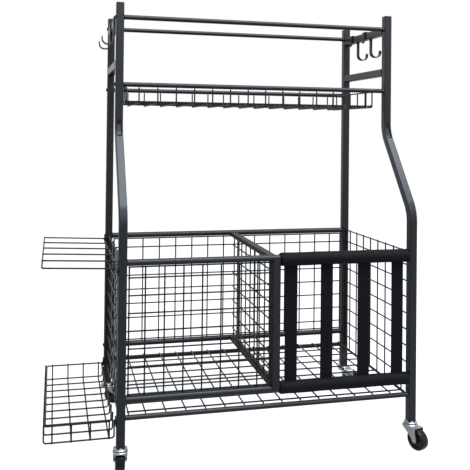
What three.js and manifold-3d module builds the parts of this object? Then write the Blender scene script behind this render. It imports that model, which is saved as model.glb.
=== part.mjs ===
// Rolling ball cart: two bent-tube side ladders joined by cross rails, on four swivel casters.
// It carries a hanging wire tray, two mesh ball bins (the right one with a soft strap front),
// four clip-on hooks, and on its left side a wire rack above a wire basket.
// Millimetres, +Z up, the front faces -Y and the floor is at zero height.
import * as THREE from "three";
import { mergeVertices } from "three/addons/utils/BufferGeometryUtils.js";
import Module from "manifold-3d";

const { Vector2, Vector3, Matrix4 } = THREE;

// Clearances
const seatGap = 0.3; // between pieces that rest on or butt against each other
const runGap = 0.35; // round a turning shaft
const overrun = 2; // how far a cutter passes the piece it cuts
const weldTolerance = 1e-4; // corners nearer than this are one corner

// Frame of square tube
const postWidth = 21;
const postWall = 1.2;
const frameWidth = 775; // between post centres, side to side
const frameDepth = 407; // between post centres, front to rear
const upperSetback = 141; // upper front posts stand this far behind the lower ones
const postRise = 36; // posts end this far over the front top rail's centre
const bendLowHeight = 623;
const bendHighHeight = 835;
const postBendRadius = 90;
const capThickness = 3;
const capChamfer = 1.2;
const capPlugDepth = 14;
const hookBarDrop = 4; // hook bars below the front top rail
const braceDrop = 120; // side braces below the hook bars

// Round cross rails
const thinRailRadius = 6.35;
const thickRailRadius = 8;
const railWall = 1.2;
const topRailHeight = 1134;
const topRailRise = 7; // the rear top rail stands this much higher
const trayRailHeight = 955;
const binRailHeight = 511.5;
const baseRailHeight = 180;
const floorRailHeight = 136.5;

// Welded wire panels
const wire = 3.6;
const wireTip = 1; // how far wires pass the border wire of their panel
const hair = 0.05; // inner wires cross this far apart, and welded wires sink this far into each other
const rearPitch = 51.3;
const leftPitch = 47.8;
const leftFirst = 56.3; // from the front left post's centre
const panelInset = 16.5; // end wire from a post's centre
const rowPitch = 43.2;
const topRowDrop = 37.7; // first inner row below the bin rail's centre
const sidePitch = 44.9;
const sideFirst = 52; // from the front post's centre
const sideRowPitch = 43.7;
const sideTopRise = 2.5; // top wire over the bin rail's centre
const sideBottomDrop = 8.5; // bottom wire under the floor rail's centre
const floorPitch = 50.3;
const floorInset = 19; // end wire from a post's centre
const floorRowPitch = 47.4;
const floorFirstRow = 20; // behind the front rail's centre

// Divider between the two bins
const dividerX = 4.5;
const dividerBarDrop = 3.5; // centre of a divider bar below its rail's centre
const dividerBarHeight = 12;
const dividerPitch = 43.5;
const dividerFirst = 49.3; // behind the front post's centre
const dividerEndInset = 16; // rear border wire from the rear posts' centre

// Soft sleeves and elastic straps
const sleeveRadius = 14.5;
const sleeveBore = 10.7;
const strapWidth = 33;
const strapThickness = 2.6;
const strapPitch = 99.4;
const strapFirst = 42.5; // from the divider's centre

// Hanging tray
const trayInsetLeft = 19.5; // end wires from the posts' centres
const trayInsetRight = 44.9;
const trayDepth = 44.5; // below the tray rails' centres
const trayFirst = 33.8; // from the left end wire
const trayPitch = 50.6;
const trayRunFirst = 49; // first long wire behind the front legs
const trayRunPitch = 48.9;
const trayEndDrop = 4; // end wires below the tray rails' centres
const wireBendRadius = 6;
const wireBendSteps = 2;

// Rack on the left side, its front edge turned down as a lip
const rackReach = 177;
const rackHeight = 504;
const rackRise = 7; // the outer edge stands this much higher
const rackRear = 398; // behind the front post's centre
const rackPitch = 84.3;
const rackLipRun = 46;
const rackLipDrop = 9;
const lugHeight = 20; // lugs are as long as a post is wide
const lugThickness = 2.4;
const lugWeld = 0.8; // how far the tilted side wire sinks into its lugs

// Basket on the left side
const basketReach = 167;
const basketRimHeight = 130;
const basketDepth = 41;
const basketFront = 5; // behind the front post's centre
const basketPitch = 43.8;
const basketRunPitch = 45.1;
const basketFirstRun = 20; // from the outer wall

// Clip-on hooks
const hookThickness = 3;
const hookWidth = 15;
const hookDrop = 51; // hook's throat below the bar's underside
const hookReach = 31;
const hookTip = 22;
const hookThroatRadius = 15;
const hookBendRadius = 2;
const hookLip = 8;
const hookLipFlare = 3;
const hookSteps = 3;
const hookPlaces = { right: [259, 344], left: [190, 300] }; // behind the front post's centre

// Swivel casters
const wheelRadius = 26.5;
const wheelWidth = 24;
const treadShoulder = 3;
const wheelDish = 4;
const wheelDishRadius = 19;
const hubRadius = 8;
const hubWidth = 25.4;
const axleRadius = 3;
const axleHeadRadius = 5;
const axleHeadLength = 2;
const forkPlate = 2;
const forkClearance = 0.6; // from the hub to each leg
const forkBossRadius = 7;
const forkFrontReach = 16;
const forkRearReach = 22;
const forkFrontDrop = 5;
const forkRearDrop = 12;
const forkBossStart = THREE.MathUtils.degToRad(205);
const forkBossEnd = THREE.MathUtils.degToRad(360);
const wheelClearance = 2; // under the fork's bent plate
const crownRadius = 19;
const crownThickness = 4;
const crownLip = 2;
const trail = 24;
const kingpinRadius = 4;
const kingpinHeadRadius = 7;
const kingpinHeadLength = 2;
const cupRadius = 17;
const cupThickness = 4;
const collarRadius = 11;
const collarHeight = 2.4;
const plugHeight = 30;
const casterTurns = { front_left: 84, front_right: -72, rear_left: 28, rear_right: -10 }; // degrees

// Facet counts
const thickRailSides = 12;
const thinRailSides = 12;
const sleeveSides = 12;
const wheelSides = 16;
const crownSides = 12;
const boreSides = 8;
const postBendSteps = 6;
const forkEndSteps = 4;

// Places worked out from the sizes above
const sideX = frameWidth / 2;
const frontY = -frameDepth / 2;
const rearY = frameDepth / 2;
const upperFrontY = frontY + upperSetback;
const innerX = sideX - postWidth / 2; // inner faces of the posts
const outerX = sideX + postWidth / 2;
const postBore = postWidth - 2 * postWall;
const forkCrownHeight = 2 * wheelRadius + wheelClearance + forkPlate;
const postFoot = forkCrownHeight + crownThickness + seatGap + cupThickness + collarHeight + seatGap;
const postTop = topRailHeight + postRise;
const hookBarHeight = topRailHeight - hookBarDrop;
const trayFloorHeight = trayRailHeight - trayDepth;
const trayEndWireHeight = trayRailHeight - trayEndDrop;
const trayLeft = -sideX + trayInsetLeft;
const trayRight = sideX - trayInsetRight;

const blackSteel = new THREE.MeshStandardMaterial({ color: 0x24262a, metalness: 0.5, roughness: 0.42 });
const zinc = new THREE.MeshStandardMaterial({ color: 0xb9bdbd, metalness: 0.9, roughness: 0.35 });
const blackPlastic = new THREE.MeshStandardMaterial({ color: 0x1b1c1e, metalness: 0, roughness: 0.5 });
const wheelRubber = new THREE.MeshStandardMaterial({ color: 0x161616, metalness: 0, roughness: 0.6 });
const foamCloth = new THREE.MeshStandardMaterial({ color: 0x17171b, metalness: 0, roughness: 0.85 });
const elastic = new THREE.MeshStandardMaterial({ color: 0x14141a, metalness: 0, roughness: 0.9 });

const cart = new THREE.Group();

function addPiece(name, geometry, material, parent = cart) {
  const mesh = new THREE.Mesh(geometry, material);
  mesh.name = name;
  parent.add(mesh);
  return mesh;
}

// Solids
const wasm = await Module();
wasm.setup();

function solidOf(geometry) {
  const bare = geometry.clone();
  bare.deleteAttribute("normal");
  bare.deleteAttribute("uv");
  const welded = mergeVertices(bare, weldTolerance);
  const vertProperties = welded.attributes.position.array;
  const triVerts = new Uint32Array(welded.index.array);
  return new wasm.Manifold(new wasm.Mesh({ numProp: 3, vertProperties, triVerts }));
}

function geometryOf(solid) {
  const { vertProperties, triVerts } = solid.getMesh();
  const indexed = new THREE.BufferGeometry();
  indexed.setAttribute("position", new THREE.BufferAttribute(new Float32Array(vertProperties), 3));
  indexed.setIndex(new THREE.BufferAttribute(new Uint32Array(triVerts), 1));
  const faceted = indexed.toNonIndexed();
  faceted.computeVertexNormals();
  return faceted;
}

const joined = (geometries) =>
  geometryOf(geometries.map(solidOf).reduce((whole, piece) => whole.add(piece)));

const cutFrom = (geometry, cutters) =>
  geometryOf(cutters.map(solidOf).reduce((whole, cutter) => whole.subtract(cutter), solidOf(geometry)));

// Frames that lay a drawing in the XY plane onto a plane of the cart
const alongX = new Matrix4().makeBasis(new Vector3(0, 1, 0), new Vector3(0, 0, 1), new Vector3(1, 0, 0));
const alongY = new Matrix4().makeBasis(new Vector3(1, 0, 0), new Vector3(0, 0, 1), new Vector3(0, -1, 0));

function boxBetween([x0, y0, z0], [x1, y1, z1]) {
  const box = new THREE.BoxGeometry(x1 - x0, y1 - y0, z1 - z0);
  return box.translate((x0 + x1) / 2, (y0 + y1) / 2, (z0 + z1) / 2);
}

// A profile of radii and heights turned about Z
function turned(profile, sides) {
  const points = profile.map(([radius, height]) => new Vector2(radius, height));
  return new THREE.LatheGeometry(points, sides, Math.PI / sides).rotateX(Math.PI / 2);
}

const turnedRing = (inner, outer, low, high, sides) =>
  turned([[inner, low], [outer, low], [outer, high], [inner, high], [inner, low]], sides);

function rod(radius, low, high, sides) {
  return turned([[0, low], [radius, low], [radius, high], [0, high]], sides);
}

// Outline of a strip that follows straight runs with rounded corners, as points on both its edges
function stripShape(corners, radii, halfWidth, steps) {
  const run = [];
  corners.forEach((corner, i) => {
    const before = corners[i - 1];
    const after = corners[i + 1];
    const into = corner.clone().sub(before ?? corner).normalize();
    const out = (after ?? corner).clone().sub(corner).normalize();
    if (!before || !after) {
      const along = before ? into : out;
      run.push({ point: corner, normal: new Vector2(-along.y, along.x) });
      return;
    }
    const turn = Math.atan2(into.cross(out), into.dot(out));
    const radius = radii[i - 1] * Math.sign(turn);
    const normal = new Vector2(-into.y, into.x);
    const start = corner.clone().addScaledVector(into, -Math.abs(radius * Math.tan(turn / 2)));
    const centre = start.addScaledVector(normal, radius);
    for (let step = 0; step <= steps; step++) {
      const turnedNormal = normal.clone().rotateAround(new Vector2(), (turn * step) / steps);
      run.push({ point: centre.clone().addScaledVector(turnedNormal, -radius), normal: turnedNormal });
    }
  });
  const edge = (side) =>
    run.map(({ point, normal }) => point.clone().addScaledVector(normal, side * halfWidth));
  return new THREE.Shape([...edge(-1), ...edge(1).reverse()]);
}

function slab(shape, thickness) {
  const geometry = new THREE.ExtrudeGeometry(shape, { depth: thickness, bevelEnabled: false });
  return geometry.translate(0, 0, -thickness / 2);
}

// A rectangle between two corners, drawn in by inset on every side
function rectangle([x0, y0], [x1, y1], inset = 0) {
  const [left, low, right, high] = [x0 + inset, y0 + inset, x1 - inset, y1 - inset];
  const drawn = [[left, low], [right, low], [right, high], [left, high]];
  return new THREE.Shape(drawn.map((p) => new Vector2(...p)));
}

const squareShape = (width, inset = 0) => rectangle([-width / 2, -width / 2], [width / 2, width / 2], inset);

// Square tube along Z
function squareTube(length) {
  const section = squareShape(postWidth);
  section.holes.push(squareShape(postWidth, postWall));
  return slab(section, length);
}

// Posts, caps and side bars
function frontPost() {
  const corners = (spill) => [
    new Vector2(upperFrontY, postTop + spill),
    new Vector2(upperFrontY, bendHighHeight),
    new Vector2(frontY, bendLowHeight),
    new Vector2(frontY, postFoot - spill),
  ];
  const bent = (width, spill) =>
    slab(stripShape(corners(spill), [postBendRadius, postBendRadius], width / 2, postBendSteps), width);
  return cutFrom(bent(postWidth, 0), [bent(postBore, overrun)]).applyMatrix4(alongX);
}

function postCap() {
  const flat = new THREE.ExtrudeGeometry(squareShape(postWidth, capChamfer), {
    depth: capThickness - 2 * capChamfer,
    bevelThickness: capChamfer,
    bevelSize: capChamfer,
    bevelSegments: 1,
  }).translate(0, 0, capChamfer + seatGap);
  const half = postBore / 2 - seatGap;
  return joined([flat, boxBetween([-half, -half, -capPlugDepth], [half, half, seatGap + capChamfer])]);
}

const postHeight = postTop - postFoot;
const corners = [
  { name: "front_left", x: -sideX, footY: frontY, topY: upperFrontY },
  { name: "front_right", x: sideX, footY: frontY, topY: upperFrontY },
  { name: "rear_left", x: -sideX, footY: rearY, topY: rearY },
  { name: "rear_right", x: sideX, footY: rearY, topY: rearY },
];
for (const { name, x, footY, topY } of corners) {
  const isFront = footY === frontY;
  const post = addPiece("post_" + name, isFront ? frontPost() : squareTube(postHeight), blackSteel);
  post.position.set(x, isFront ? 0 : footY, isFront ? 0 : postFoot + postHeight / 2);
  addPiece("post_cap_" + name, postCap(), blackPlastic).position.set(x, topY, postTop);
}

const barLength = frameDepth - upperSetback - postWidth - 2 * seatGap;
for (const [side, sign] of [["left", -1], ["right", 1]]) {
  for (const [name, height] of [["hook_bar", hookBarHeight], ["side_brace", hookBarHeight - braceDrop]]) {
    const bar = addPiece(name + "_" + side, squareTube(barLength).rotateX(Math.PI / 2), blackSteel);
    bar.position.set(sign * sideX, (upperFrontY + rearY) / 2, height);
  }
}

// Cross rails, round tubes that butt against the inner faces of the posts
const railLength = 2 * (innerX - seatGap);
const railSets = [
  ["top_rail", thinRailRadius, topRailHeight, topRailRise, upperFrontY, thinRailSides],
  ["tray_rail", thinRailRadius, trayRailHeight, 0, upperFrontY, thinRailSides],
  ["bin_rail", thickRailRadius, binRailHeight, 0, frontY, thickRailSides],
  ["base_rail", thickRailRadius, baseRailHeight, 0, frontY, thickRailSides],
  ["floor_rail", thinRailRadius, floorRailHeight, 0, frontY, thinRailSides],
];
for (const [name, radius, height, rearRise, forwardY, sides] of railSets) {
  for (const [place, y, rise] of [["front", forwardY, 0], ["rear", rearY, rearRise]]) {
    const tube = turnedRing(radius - railWall, radius, -railLength / 2, railLength / 2, sides);
    addPiece(name + "_" + place, tube.rotateY(Math.PI / 2), blackSteel).position.set(0, y, height + rise);
  }
}

// Places a pitch apart: from the first one on, from the last one back, or centred between two borders
const series = (first, pitch, last) =>
  Array.from({ length: Math.floor((last - first) / pitch) + 1 }, (_, i) => first + i * pitch);

const seriesBack = (first, pitch, last) =>
  series(-last, pitch, -first)
    .map((place) => -place)
    .reverse();

function centredSeries(border, pitch) {
  const count = Math.floor((2 * border) / pitch);
  return series((-(count - 1) * pitch) / 2, pitch, border);
}

// Welded wire panels: columns run in Y on the +Z side of the panel, rows run in X on its -Z side
function weldedPanel(columns, rows, columnSpan, rowSpan) {
  const isBorder = (list, value) => value === list[0] || value === list.at(-1);
  const wires = columns.map((x) => {
    const low = isBorder(columns, x) ? -2 * hair : 0;
    return boxBetween([x - wire / 2, columnSpan[0], low], [x + wire / 2, columnSpan[1], low + wire]);
  });
  for (const y of rows) {
    const high = isBorder(rows, y) ? hair : -hair;
    wires.push(boxBetween([rowSpan[0], y - wire / 2, high - wire], [rowSpan[1], y + wire / 2, high]));
  }
  return joined(wires);
}

const binTop = binRailHeight - thickRailRadius - seatGap;
const binBottom = baseRailHeight + thickRailRadius + seatGap;
const borderInset = wireTip + wire / 2;
const binRowHeights = [
  binBottom + borderInset,
  ...seriesBack(binBottom + borderInset, rowPitch, binRailHeight - topRowDrop),
  binTop - borderInset,
];
const tipped = (list) => [list[0] - borderInset, list.at(-1) + borderInset];

const rearBorder = sideX - panelInset;
const rearList = [-rearBorder, ...centredSeries(rearBorder, rearPitch), rearBorder];
const rearPanel = weldedPanel(rearList, binRowHeights, [binBottom, binTop], tipped(rearList));
addPiece("rear_panel", rearPanel.applyMatrix4(alongY), blackSteel).position.y = rearY;

const dividerLeft = dividerX - postWidth / 2;
const leftBorder = dividerLeft - seatGap - borderInset;
const leftList = [-rearBorder, ...series(-sideX + leftFirst, leftPitch, leftBorder), leftBorder];
const leftPanel = weldedPanel(leftList, binRowHeights, [binBottom, binTop], tipped(leftList));
addPiece("front_panel_left", leftPanel.applyMatrix4(alongY), blackSteel).position.y = frontY;

const sideBorder = rearY - panelInset;
const sideList = [-sideBorder, ...series(frontY + sideFirst, sidePitch, sideBorder), sideBorder];
const sideTop = binRailHeight + sideTopRise;
const sideRowList = [...series(floorRailHeight - sideBottomDrop, sideRowPitch, sideTop), sideTop];
const sideSpan = [frontY + postWidth / 2 + seatGap, rearY - postWidth / 2 - seatGap];
for (const [side, sign] of [["left", -1], ["right", 1]]) {
  const panel = weldedPanel(sideList, sideRowList, tipped(sideRowList), sideSpan);
  addPiece("side_panel_" + side, panel.applyMatrix4(alongX), blackSteel).position.x = sign * sideX;
}

const floorBorder = sideX - floorInset;
const floorList = [-floorBorder, ...centredSeries(floorBorder, floorPitch), floorBorder];
const floorRowList = series(frontY + floorFirstRow, floorRowPitch, rearY);
const floorSpan = [frontY - wireTip, rearY + wireTip];
const floorGrid = weldedPanel(floorList, floorRowList, floorSpan, tipped(floorList));
addPiece("floor_grid", floorGrid, blackSteel).position.z = floorRailHeight + thinRailRadius + seatGap;

// Divider: a front post and two bars, coped round the rails that they join, and a wire panel
function dividerFrame() {
  const postLength = binRailHeight - baseRailHeight;
  const post = squareTube(postLength).translate(0, frontY, baseRailHeight + postLength / 2);
  const bar = (height) => {
    const start = frontY + (postWidth - postWall) / 2;
    const end = rearY - seatGap;
    const block = (inset, spill) => {
      const half = postWidth / 2 - inset;
      const rise = dividerBarHeight / 2 - inset;
      return boxBetween([-half, start - spill, height - rise], [half, end + spill, height + rise]);
    };
    return { outer: block(0, 0), inner: block(postWall, overrun) };
  };
  const top = bar(binRailHeight - dividerBarDrop);
  const bottom = bar(baseRailHeight + dividerBarDrop);
  const postBoreCut = boxBetween(
    [-postBore / 2, frontY - postBore / 2, baseRailHeight],
    [postBore / 2, frontY + postBore / 2, binRailHeight],
  );
  const railCut = (y, height) => {
    const round = rod(thickRailRadius + seatGap, -postWidth, postWidth, thickRailSides);
    return round.rotateY(Math.PI / 2).translate(0, y, height);
  };
  const railHeights = [binRailHeight, baseRailHeight];
  const cuts = [frontY, rearY].flatMap((y) => railHeights.map((height) => railCut(y, height)));
  const bars = cutFrom(joined([top.outer, bottom.outer]), [top.inner, bottom.inner, postBoreCut]);
  return cutFrom(joined([post, bars]), cuts);
}
addPiece("divider_frame", dividerFrame(), blackSteel).position.x = dividerX;

const dividerEnd = rearY - dividerEndInset;
const dividerList = [...series(frontY + dividerFirst, dividerPitch, dividerEnd), dividerEnd];
const dividerTop = binRailHeight - dividerBarDrop - dividerBarHeight / 2 - seatGap;
const dividerBottom = baseRailHeight + dividerBarDrop + dividerBarHeight / 2 + seatGap;
const dividerRows = [dividerBottom + borderInset, ...binRowHeights.slice(1, -1), dividerTop - borderInset];
const dividerSpan = [frontY + postWidth / 2 + seatGap, dividerEnd + borderInset];
const dividerPanel = weldedPanel(dividerList, dividerRows, [dividerBottom, dividerTop], dividerSpan);
addPiece("divider_panel", dividerPanel.applyMatrix4(alongX), blackSteel).position.x = dividerX;

// Soft front of the right bin: padded sleeves hang on the two front rails, elastic straps join them
const sleeveStart = dividerX + postWidth / 2 + seatGap;
const sleeveEnd = innerX - seatGap;
const sleeveHang = sleeveBore - thickRailRadius - seatGap;
for (const [name, height] of [["sleeve_upper", binRailHeight], ["sleeve_lower", baseRailHeight]]) {
  const tube = turnedRing(sleeveBore, sleeveRadius, sleeveStart, sleeveEnd, sleeveSides);
  addPiece(name, tube.rotateY(Math.PI / 2), foamCloth).position.set(0, frontY, height - sleeveHang);
}
const strapTop = binRailHeight - sleeveHang - sleeveRadius - seatGap;
const strapBottom = baseRailHeight - sleeveHang + sleeveRadius + seatGap;
series(dividerX + strapFirst, strapPitch, innerX - strapWidth / 2).forEach((x, i) => {
  const band = boxBetween(
    [-strapWidth / 2, -strapThickness / 2, strapBottom],
    [strapWidth / 2, strapThickness / 2, strapTop],
  );
  addPiece("strap_" + (i + 1), band, elastic).position.set(x, frontY, 0);
});

// A wire loop: down one side, along the bottom and up the other, as a drawing in the XY plane
function wireLoop(left, right, top, bottom) {
  const path = [[left, top], [left, bottom], [right, bottom], [right, top]].map((p) => new Vector2(...p));
  return slab(stripShape(path, [wireBendRadius, wireBendRadius], wire / 2, wireBendSteps), wire);
}

// Tray: cross loops under the tray rails, and long wires under those that turn up at both ends
function tray() {
  const legTop = trayRailHeight - thinRailRadius - seatGap;
  const crossLoop = (x, height) =>
    wireLoop(upperFrontY, rearY, legTop, height).applyMatrix4(alongX).translate(x, 0, 0);
  const longLoop = (y, height) =>
    wireLoop(trayLeft - wire + hair, trayRight + wire - hair, trayEndWireHeight, height)
      .applyMatrix4(alongY)
      .translate(0, y, 0);
  const railFace = thinRailRadius + seatGap;
  const endWire = (x) =>
    boxBetween(
      [x - wire / 2, upperFrontY + railFace, trayEndWireHeight - wire / 2],
      [x + wire / 2, rearY - railFace, trayEndWireHeight + wire / 2],
    );
  const ends = [trayLeft, trayRight];
  const inner = series(trayLeft + trayFirst, trayPitch, trayRight - wire);
  const long = series(upperFrontY + trayRunFirst, trayRunPitch, rearY - wireBendRadius);
  return [
    ...ends.map((x) => crossLoop(x, trayFloorHeight - 2 * hair)),
    ...inner.map((x) => crossLoop(x, trayFloorHeight)),
    ...ends.map(endWire),
    ...long.map((y, i) => longLoop(y, trayFloorHeight - wire + (i % (long.length - 1) ? -hair : hair))),
  ];
}
addPiece("tray", joined(tray()), blackSteel);

// Left side rack: rods across two side wires whose front ends turn down, on lugs at both left posts
const leftFace = -(outerX + seatGap + lugThickness); // outer faces of the lugs on the left posts
const lugAt = (y, height) =>
  boxBetween(
    [leftFace, y - postWidth / 2, height - lugHeight / 2],
    [leftFace + lugThickness, y + postWidth / 2, height + lugHeight / 2],
  );

function sideRack() {
  const rear = frontY + rackRear;
  const rodList = seriesBack(frontY + rackLipRun, rackPitch, rear);
  const lip = rodList[0] - rackLipRun;
  const sideWire = (x, frontEnd, rearEnd) => {
    const path = [
      new Vector2(frontEnd, -rackLipDrop - wire),
      new Vector2(lip, -rackLipDrop - wire),
      new Vector2(rodList[0], -wire),
      new Vector2(rearEnd, -wire),
    ];
    const strip = stripShape(path, [wireBendRadius, wireBendRadius], wire / 2, wireBendSteps);
    return slab(strip, wire).applyMatrix4(alongX).translate(x, 0, 0);
  };
  const rodAcross = (y, drop) => {
    const low = -drop - wire / 2 - hair;
    return boxBetween([-rackReach - wire / 2, y - wire / 2, low], [wire / 2, y + wire / 2, low + wire]);
  };
  const grid = [
    sideWire(0, frontY - postWidth / 2, rearY + postWidth / 2),
    sideWire(-rackReach, lip - wire, rear + wire),
    ...rodList.map((y) => rodAcross(y, 0)),
    rodAcross(lip, rackLipDrop),
  ];
  const rise = Math.atan(rackRise / rackReach);
  const innerWire = leftFace - wire / 2 + lugWeld;
  const raised = grid.map((piece) => piece.rotateY(rise).translate(innerWire, 0, rackHeight));
  return [...raised, lugAt(frontY, rackHeight - rackLipDrop - wire), lugAt(rearY, rackHeight - wire)];
}
addPiece("side_rack", joined(sideRack()), blackSteel);

// Left side basket: wire loops both ways, legs outside a rim, on lugs at both left posts
function sideBasket() {
  const inner = leftFace - wire / 2 + hair;
  const outer = inner - basketReach;
  const front = frontY + basketFront;
  const crossPlaces = series(front, basketPitch, rearY - basketFront);
  const rear = crossPlaces.at(-1);
  const floor = basketRimHeight - basketDepth;
  const legTop = basketRimHeight + wire / 2 + wireTip;
  const cross = crossPlaces.map((y) =>
    wireLoop(outer, inner, legTop, floor).applyMatrix4(alongY).translate(0, y, 0),
  );
  const long = series(outer + basketFirstRun, basketRunPitch, inner - wire).map((x) =>
    wireLoop(front, rear, legTop, floor - wire - hair).applyMatrix4(alongX).translate(x, 0, 0),
  );
  const rim = rectangle([outer, front], [inner, rear], wire / 2 - hair);
  rim.holes.push(rectangle([outer, front], [inner, rear], wire + wire / 2));
  const ring = slab(rim, wire).translate(0, 0, basketRimHeight);
  return [ring, ...cross, ...long, lugAt(frontY, basketRimHeight), lugAt(rearY, basketRimHeight)];
}
addPiece("side_basket", joined(sideBasket()), blackSteel);

// Clip-on hooks: bent strip that clips over a hook bar and ends in a J
function hookStrip(sign) {
  const wrap = postWidth / 2 + seatGap + hookThickness / 2;
  const footHeight = -postWidth / 2 - hookThickness;
  const low = -postWidth / 2 - hookDrop - hookThickness / 2;
  const path = [
    [-wrap - hookLipFlare, footHeight - hookLip],
    [-wrap, footHeight],
    [-wrap, wrap],
    [wrap, wrap],
    [wrap, low],
    [wrap + hookReach, low],
    [wrap + hookReach, low + hookTip],
  ].map(([x, z]) => new Vector2(sign * x, z));
  const radii = [hookBendRadius, hookBendRadius, hookBendRadius, hookThroatRadius, hookThroatRadius];
  return slab(stripShape(path, radii, hookThickness / 2, hookSteps), hookWidth).applyMatrix4(alongY);
}
for (const [side, sign] of [["left", -1], ["right", 1]]) {
  hookPlaces[side].forEach((y, i) => {
    const hook = addPiece("hook_" + side + (i ? "_rear" : "_front"), hookStrip(sign), blackSteel);
    hook.position.set(sign * sideX, frontY + y, hookBarHeight);
  });
}

// Casters, each built at the origin with its wheel trailing along +X
const circumscribed = (radius, sides) => radius / Math.cos(Math.PI / sides);

function casterStem() {
  const washer = forkCrownHeight - forkPlate - seatGap;
  const crownTop = forkCrownHeight + crownThickness + seatGap;
  const cupTop = postFoot - seatGap;
  const profile = [
    [0, washer - kingpinHeadLength],
    [kingpinHeadRadius, washer - kingpinHeadLength],
    [kingpinHeadRadius, washer],
    [kingpinRadius, washer],
    [kingpinRadius, crownTop],
    [cupRadius, crownTop],
    [cupRadius, crownTop + cupThickness],
    [collarRadius, cupTop],
    [0, cupTop],
  ];
  const half = postBore / 2 - seatGap;
  const plug = boxBetween([-half, -half, cupTop - seatGap], [half, half, cupTop + plugHeight]);
  return joined([turned(profile, crownSides), plug]);
}

function casterFork() {
  const legInner = hubWidth / 2 + forkClearance;
  const legOuter = legInner + forkPlate;
  const plateTop = forkCrownHeight;
  const legShape = new THREE.Shape();
  legShape.moveTo(-forkFrontReach, plateTop);
  legShape.lineTo(-forkFrontReach, plateTop - forkFrontDrop);
  legShape.absarc(trail, wheelRadius, forkBossRadius, forkBossStart, forkBossEnd, false);
  legShape.lineTo(trail + forkBossRadius, plateTop - forkRearDrop);
  legShape.lineTo(forkRearReach, plateTop);
  const legForm = { depth: forkPlate, bevelEnabled: false, curveSegments: forkEndSteps };
  const leg = (low) =>
    new THREE.ExtrudeGeometry(legShape, legForm).rotateX(Math.PI / 2).translate(0, low + forkPlate, 0);
  const plate = boxBetween(
    [-forkFrontReach, -legOuter, plateTop - forkPlate],
    [forkRearReach, legOuter, plateTop],
  );
  const crown = turned(
    [
      [0, plateTop - forkPlate / 2],
      [crownRadius, plateTop - forkPlate / 2],
      [crownRadius, plateTop + crownThickness - crownLip],
      [crownRadius - crownLip, plateTop + crownThickness],
      [0, plateTop + crownThickness],
    ],
    crownSides,
  );
  const bore = rod(
    circumscribed(kingpinRadius + runGap, boreSides),
    plateTop - forkPlate - overrun,
    plateTop + crownThickness + overrun,
    boreSides,
  );
  const axleBoreRadius = circumscribed(axleRadius + seatGap, boreSides);
  const axleBore = rod(axleBoreRadius, -legOuter - overrun, legOuter + overrun, boreSides)
    .rotateX(Math.PI / 2)
    .translate(trail, 0, wheelRadius);
  return cutFrom(joined([plate, leg(legInner), leg(-legOuter), crown]), [bore, axleBore]);
}

function casterWheel() {
  const rim = circumscribed(wheelRadius, wheelSides);
  const half = wheelWidth / 2;
  const bore = circumscribed(axleRadius + runGap, boreSides);
  const side = [
    [bore, hubWidth / 2],
    [hubRadius, hubWidth / 2],
    [hubRadius, half - wheelDish],
    [wheelDishRadius, half - wheelDish],
    [wheelDishRadius, half],
    [rim - treadShoulder, half],
    [rim, half - treadShoulder],
  ];
  const profile = [...side.map(([r, h]) => [r, -h]), ...side.toReversed(), side.map(([r, h]) => [r, -h])[0]];
  return turned(profile, wheelSides).rotateX(Math.PI / 2);
}

function casterAxle() {
  const legOuter = hubWidth / 2 + forkClearance + forkPlate;
  const headInner = legOuter + seatGap;
  const profile = [
    [0, -headInner - axleHeadLength],
    [axleHeadRadius, -headInner - axleHeadLength],
    [axleHeadRadius, -headInner],
    [axleRadius, -headInner],
    [axleRadius, headInner],
    [axleHeadRadius, headInner],
    [axleHeadRadius, headInner + axleHeadLength],
    [0, headInner + axleHeadLength],
  ];
  return turned(profile, boreSides).rotateX(Math.PI / 2);
}

for (const { name, x, footY } of corners) {
  addPiece("caster_stem_" + name, casterStem(), zinc).position.set(x, footY, 0);
  const swivel = new THREE.Group();
  swivel.position.set(x, footY, 0);
  swivel.rotation.z = THREE.MathUtils.degToRad(casterTurns[name]);
  cart.add(swivel);
  addPiece("caster_fork_" + name, casterFork(), zinc, swivel);
  for (const [piece, geometry, material] of [
    ["wheel_", casterWheel(), wheelRubber],
    ["axle_", casterAxle(), zinc],
  ]) {
    addPiece(piece + name, geometry, material, swivel).position.set(trail, 0, wheelRadius);
  }
}

// The part's origin is the middle of its footprint, on the floor
cart.updateMatrixWorld(true);
const extent = new THREE.Box3().setFromObject(cart, true);
const middle = extent.getCenter(new Vector3());
cart.position.set(-middle.x, -middle.y, -extent.min.z);
cart.updateMatrixWorld(true);

export default cart;
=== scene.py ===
# %% [markdown]
# # A rolling ball cart in Blender
# The cart is black powder-coated steel: two bent-tube side ladders, cross rails, welded wire and four
# casters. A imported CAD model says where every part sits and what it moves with. This lesson dresses
# each CAD part in a finer surface, worked out with numpy, and gives it a material made of nodes.
# Everything is drawn in the cart's own millimetres: x = 0 midway between the left and right posts,
# y = 0 at the lower front posts, z = 0 on the floor. One function then puts it in Blender's metres.

# %% Load the CAD frame
import math
from functools import partial

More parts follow.
